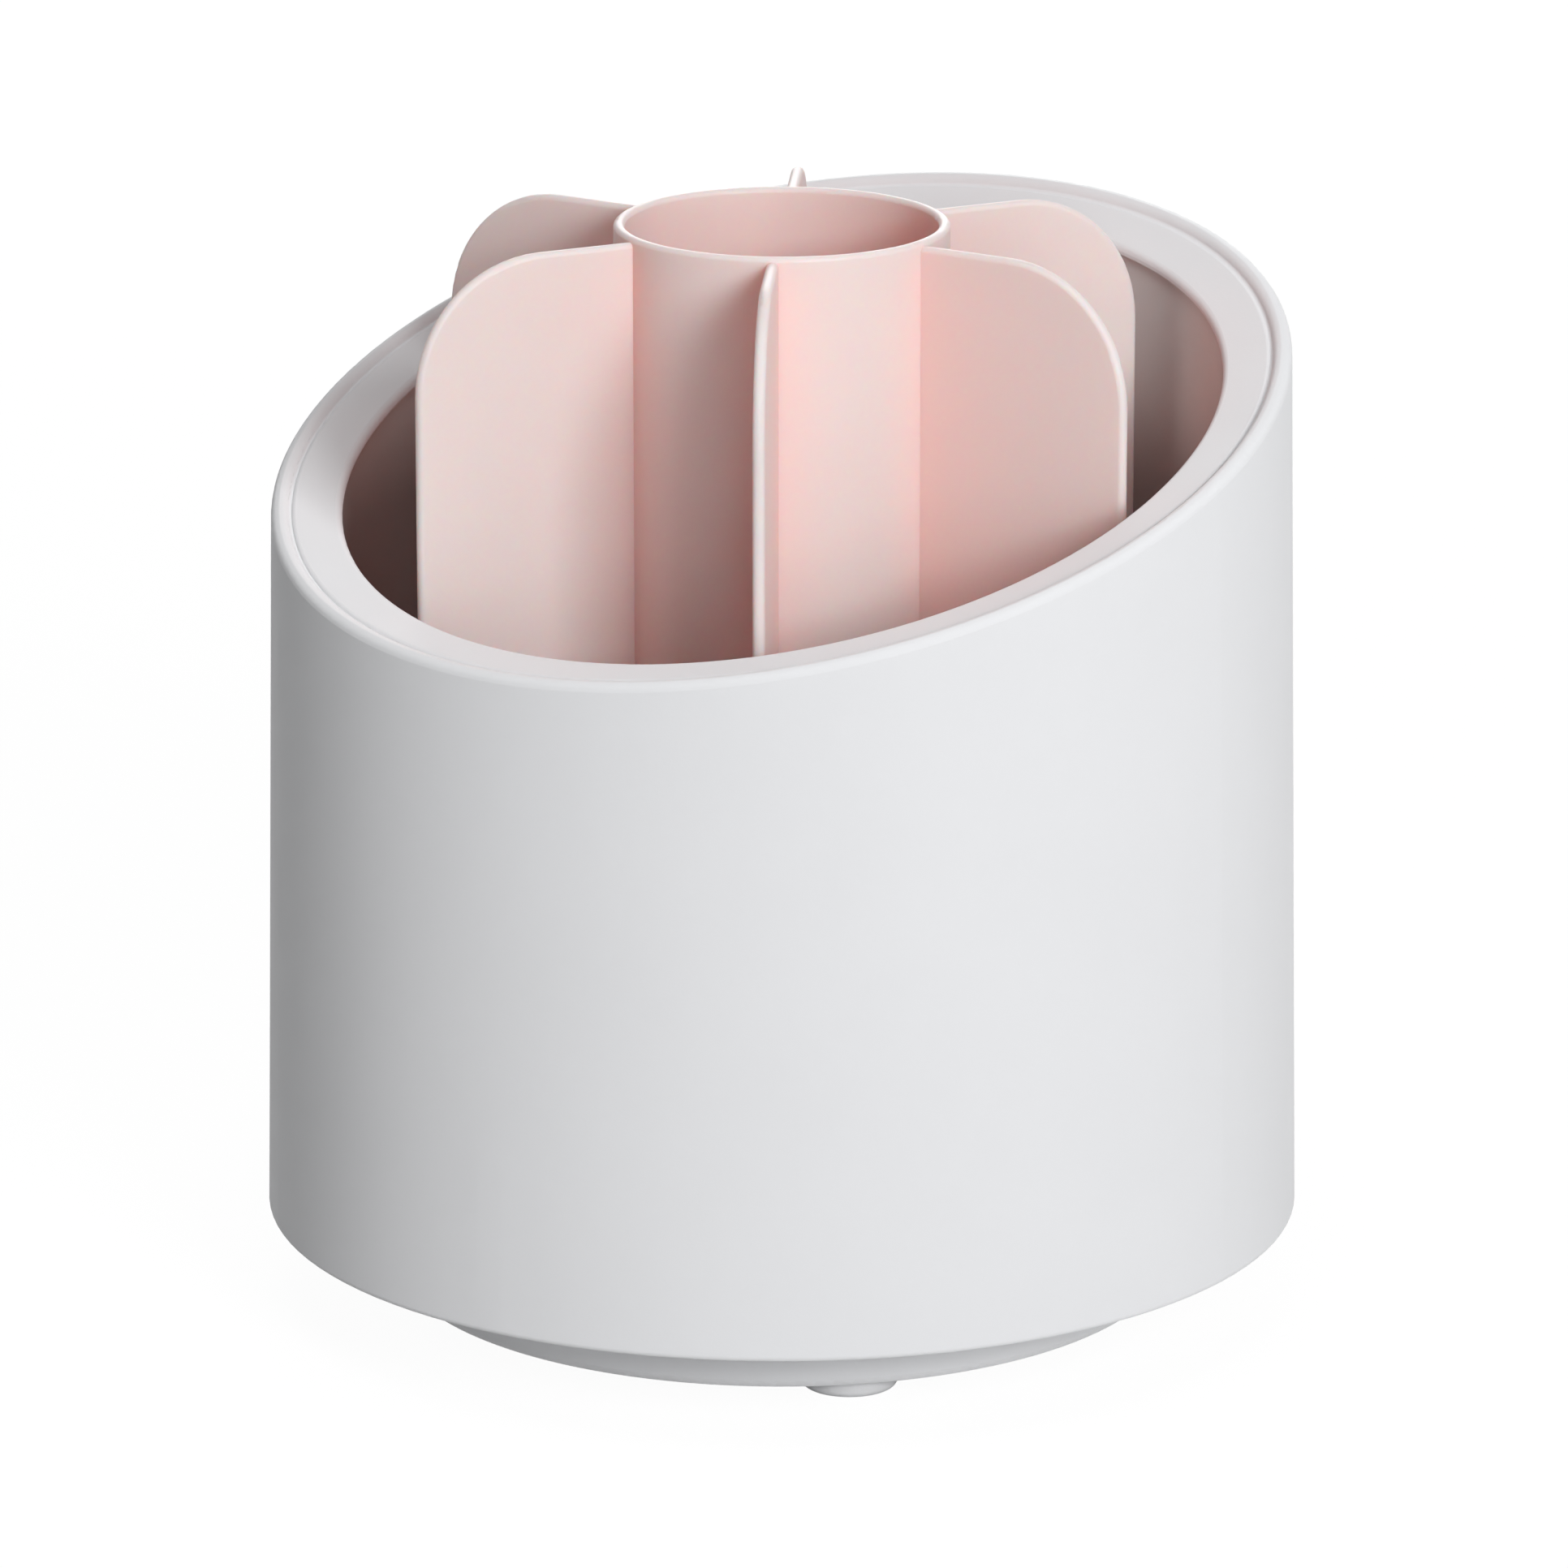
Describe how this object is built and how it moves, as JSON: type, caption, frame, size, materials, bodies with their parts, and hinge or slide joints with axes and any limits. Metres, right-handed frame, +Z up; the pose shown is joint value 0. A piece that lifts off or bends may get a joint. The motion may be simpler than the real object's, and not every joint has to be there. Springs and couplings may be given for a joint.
{
  "type": "rotating makeup brush holder",
  "caption": "Round turntable cup with a slanted rim and a lift-out divider with a central tube and radial fins, for holding makeup brushes upright.",
  "frame": {"origin": "centre of the plane that the feet stand on", "axes": "+Z up along the turning axis, +Y towards the high side of the slanted rim, +X to the right seen from the low side"},
  "size_m": [0.13, 0.13, 0.1375],
  "materials": {
    "shell_white": "white ABS, fine satin, lightly textured",
    "liner_dark": "dark taupe plastic, polished",
    "divider_pink": "blush pink plastic, satin gloss",
    "base_white": "white ABS, satin",
    "foot_rubber": "pale soft rubber, matte",
    "nylon_natural": "natural nylon, matte",
    "screw_steel": "zinc-plated steel",
    "ball_steel": "polished bearing steel"
  },
  "bodies": {
    "base": {"turntable_base": "base_white", "pivot_bush": "nylon_natural", "foot_back_right": "foot_rubber", "foot_back_left": "foot_rubber", "foot_front_left": "foot_rubber", "foot_front_right": "foot_rubber"},
    "cup": {"outer_shell": "shell_white", "rim_ring": "shell_white", "inner_liner": "liner_dark", "shell_floor": "base_white", "shell_floor_screws": "screw_steel", "turntable_top": "base_white", "top_plate_screws": "screw_steel", "pivot_screw": "screw_steel", "retaining_washer": "screw_steel"},
    "ball_train": {"ball_cage": "nylon_natural", "bearing_ball_01": "ball_steel", "bearing_ball_02": "ball_steel", "bearing_ball_03": "ball_steel", "bearing_ball_04": "ball_steel", "bearing_ball_05": "ball_steel", "bearing_ball_06": "ball_steel", "bearing_ball_07": "ball_steel", "bearing_ball_08": "ball_steel", "bearing_ball_09": "ball_steel", "bearing_ball_10": "ball_steel", "bearing_ball_11": "ball_steel", "bearing_ball_12": "ball_steel"},
    "divider": {"brush_divider": "divider_pink"}
  },
  "joints": [
    {"name": "cup_spin", "type": "hinge", "parent": "base", "child": "cup", "pos_m": [0, 0, 0.0086], "axis": [0, 0, 1], "continuous": true},
    {"name": "ball_train_spin", "type": "hinge", "parent": "base", "child": "ball_train", "pos_m": [0, 0, 0.0086], "axis": [0, 0, 1], "continuous": true},
    {"name": "divider_lift", "type": "slide", "parent": "cup", "child": "divider", "axis": [0, 0, 1], "range_m": [0, 0.12]}
  ],
  "couplings": [
    {"joint": "ball_train_spin", "follows": "cup_spin", "ratio": 0.5}
  ]
}
